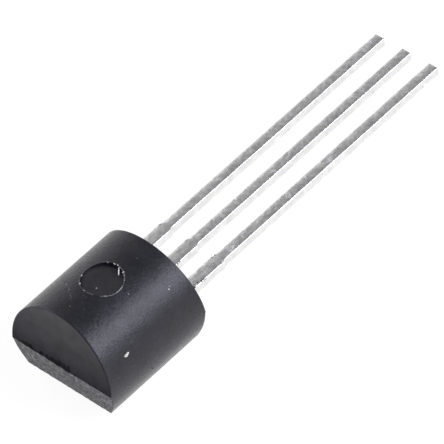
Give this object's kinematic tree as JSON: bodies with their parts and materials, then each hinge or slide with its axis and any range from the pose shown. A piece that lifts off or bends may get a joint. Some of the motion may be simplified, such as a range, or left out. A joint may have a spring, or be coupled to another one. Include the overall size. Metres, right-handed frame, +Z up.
{
  "type": "shunt voltage reference",
  "caption": "Small D-shaped moulded electronic part with straight tinned leads in a row, lying on its flat. It holds a fixed voltage across itself.",
  "frame": {"origin": "on the table that the part lies on, under the middle of the whole part", "axes": "+Z up from the table; +Y level, from the body's top end towards the lead tips; +X across the row of leads, towards the cathode lead. The leads and the flat slope down by 5.30 degrees towards +Y, because that is how the part comes to rest."},
  "size_m": [0.0048, 0.0184, 0.004],
  "materials": {
    "epoxy": "satin",
    "tin_plate": "satin",
    "silver_epoxy": "matte",
    "silicon": "polished",
    "gold": "polished"
  },
  "bodies": {
    "root": {"body": "epoxy", "anode_lead": "tin_plate", "reference_lead": "tin_plate", "cathode_lead": "tin_plate", "die_attach": "silver_epoxy", "die": "silicon", "reference_wire": "gold", "cathode_wire": "gold"}
  },
  "joints": []
}
